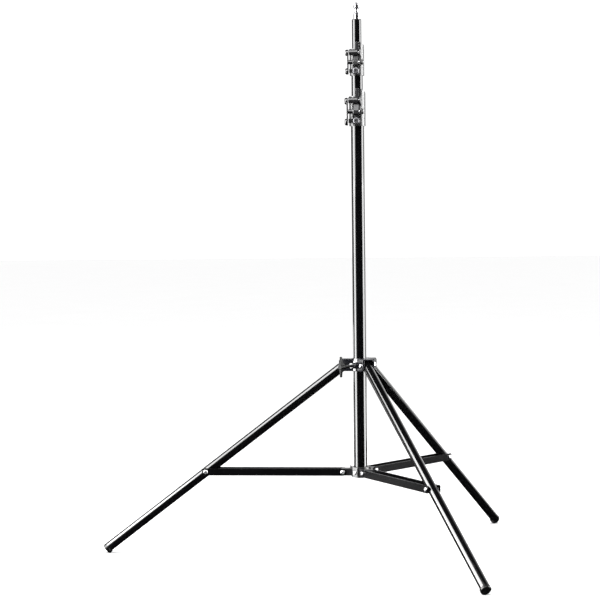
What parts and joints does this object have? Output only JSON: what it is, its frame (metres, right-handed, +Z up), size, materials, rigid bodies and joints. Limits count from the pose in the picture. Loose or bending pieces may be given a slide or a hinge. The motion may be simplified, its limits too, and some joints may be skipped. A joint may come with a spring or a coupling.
{
  "type": "lighting stand",
  "caption": "Telescopic lighting stand with a lamp spigot, clamp collars with wing screws, and a folding tripod base of tube legs and flat braces on a sliding leg collar.",
  "frame": {"origin": "on the floor, on the axis of the column", "axes": "+Z up along the column; -X along the left leg; the other two legs at 60 degrees either side of +X"},
  "size_m": [1.0357, 1.1916, 1.439],
  "materials": {
    "tube_black": "gloss black anodised tube",
    "casting_black": "satin black powder-coated die casting",
    "strap_black": "satin black coated flat steel",
    "plastic_black": "moulded black plastic",
    "nylon_black": "black nylon bearing plastic",
    "rubber_black": "matt black rubber",
    "stud_steel": "bright plated steel",
    "bolt_zinc": "bright plated steel fasteners"
  },
  "bodies": {
    "column": {"outer_tube": "tube_black", "column_end_plug": "plastic_black", "lower_hub": "casting_black", "hub_fixing_screws": "bolt_zinc", "brace_pivot_bolts": "bolt_zinc", "brace_pivot_nuts": "bolt_zinc", "lower_clamp_body": "casting_black", "lower_clamp_insert": "nylon_black", "lower_clamp_nut": "bolt_zinc", "lower_clamp_pinch_screw": "bolt_zinc", "lower_clamp_fixing_screw": "bolt_zinc"},
    "middle_mast": {"middle_tube": "tube_black", "middle_tube_guide": "nylon_black", "upper_clamp_body": "casting_black", "upper_clamp_insert": "nylon_black", "upper_clamp_nut": "bolt_zinc", "upper_clamp_pinch_screw": "bolt_zinc", "upper_clamp_fixing_screw": "bolt_zinc"},
    "top_mast": {"top_tube": "tube_black", "top_tube_guide": "nylon_black", "top_tube_plug": "plastic_black", "spigot": "stud_steel", "spigot_stud": "stud_steel"},
    "lower_wing": {"lower_clamp_wing": "casting_black", "lower_clamp_screw": "bolt_zinc"},
    "upper_wing": {"upper_clamp_wing": "casting_black", "upper_clamp_screw": "bolt_zinc"},
    "leg_slider": {"leg_collar": "casting_black", "leg_collar_bush": "nylon_black", "leg_pivot_bolts": "bolt_zinc", "leg_pivot_nuts": "bolt_zinc"},
    "slider_knob": {"leg_collar_knob": "casting_black", "leg_collar_screw": "bolt_zinc"},
    "leg_left": {"leg_left_tube": "tube_black", "leg_left_plug": "plastic_black", "leg_left_sleeves": "bolt_zinc", "leg_left_foot": "rubber_black"},
    "brace_left": {"brace_left_strap_a": "strap_black", "brace_left_strap_b": "strap_black", "brace_left_bolt_a": "bolt_zinc", "brace_left_bolt_b": "bolt_zinc"},
    "leg_front": {"leg_front_tube": "tube_black", "leg_front_plug": "plastic_black", "leg_front_sleeves": "bolt_zinc", "leg_front_foot": "rubber_black"},
    "brace_front": {"brace_front_strap_a": "strap_black", "brace_front_strap_b": "strap_black", "brace_front_bolt_a": "bolt_zinc", "brace_front_bolt_b": "bolt_zinc"},
    "leg_back": {"leg_back_tube": "tube_black", "leg_back_plug": "plastic_black", "leg_back_sleeves": "bolt_zinc", "leg_back_foot": "rubber_black"},
    "brace_back": {"brace_back_strap_a": "strap_black", "brace_back_strap_b": "strap_black", "brace_back_bolt_a": "bolt_zinc", "brace_back_bolt_b": "bolt_zinc"}
  },
  "joints": [
    {"name": "middle_slide", "type": "slide", "parent": "column", "child": "middle_mast", "axis": [0, 0, 1], "range_m": [-0.03, 0.77]},
    {"name": "top_slide", "type": "slide", "parent": "middle_mast", "child": "top_mast", "axis": [0, 0, 1], "range_m": [-0.05, 0.8]},
    {"name": "lower_wing_turn", "type": "hinge", "parent": "column", "child": "lower_wing", "pos_m": [0, -0.0295, 1.1555], "axis": [1, 0, 0], "range_deg": [0, 360]},
    {"name": "upper_wing_turn", "type": "hinge", "parent": "middle_mast", "child": "upper_wing", "pos_m": [0, -0.027, 1.28321], "axis": [1, 0, 0], "range_deg": [0, 360]},
    {"name": "leg_slide", "type": "slide", "parent": "column", "child": "leg_slider", "axis": [0, 0, 1], "range_m": [0, 0.54199]},
    {"name": "knob_turn", "type": "hinge", "parent": "leg_slider", "child": "slider_knob", "pos_m": [0, 0, 0.497], "axis": [0.5, 0.866, 0], "range_deg": [0, 360]},
    {"name": "leg_left_fold", "type": "hinge", "parent": "leg_slider", "child": "leg_left", "pos_m": [-0.0415, 0, 0.497], "axis": [0, -1, 0], "range_deg": [0, 51.16]},
    {"name": "brace_left_fold", "type": "hinge", "parent": "column", "child": "brace_left", "pos_m": [-0.046, 0, 0.218], "axis": [0, 1, 0], "range_deg": [0, 88.81]},
    {"name": "leg_front_fold", "type": "hinge", "parent": "leg_slider", "child": "leg_front", "pos_m": [0.02075, -0.03594, 0.497], "axis": [0.866, 0.5, 0], "range_deg": [0, 51.16]},
    {"name": "brace_front_fold", "type": "hinge", "parent": "column", "child": "brace_front", "pos_m": [0.023, -0.03984, 0.218], "axis": [-0.866, -0.5, 0], "range_deg": [0, 88.81]},
    {"name": "leg_back_fold", "type": "hinge", "parent": "leg_slider", "child": "leg_back", "pos_m": [0.02075, 0.03594, 0.497], "axis": [-0.866, 0.5, 0], "range_deg": [0, 51.16]},
    {"name": "brace_back_fold", "type": "hinge", "parent": "column", "child": "brace_back", "pos_m": [0.023, 0.03984, 0.218], "axis": [0.866, -0.5, 0], "range_deg": [0, 88.81]}
  ],
  "couplings": [
    {"joint": "leg_left_fold", "follows": "leg_slide", "rad_per_m": 1.6475},
    {"joint": "brace_left_fold", "follows": "leg_slide", "rad_per_m": 2.8597},
    {"joint": "leg_front_fold", "follows": "leg_slide", "rad_per_m": 1.6475},
    {"joint": "brace_front_fold", "follows": "leg_slide", "rad_per_m": 2.8597},
    {"joint": "leg_back_fold", "follows": "leg_slide", "rad_per_m": 1.6475},
    {"joint": "brace_back_fold", "follows": "leg_slide", "rad_per_m": 2.8597}
  ]
}
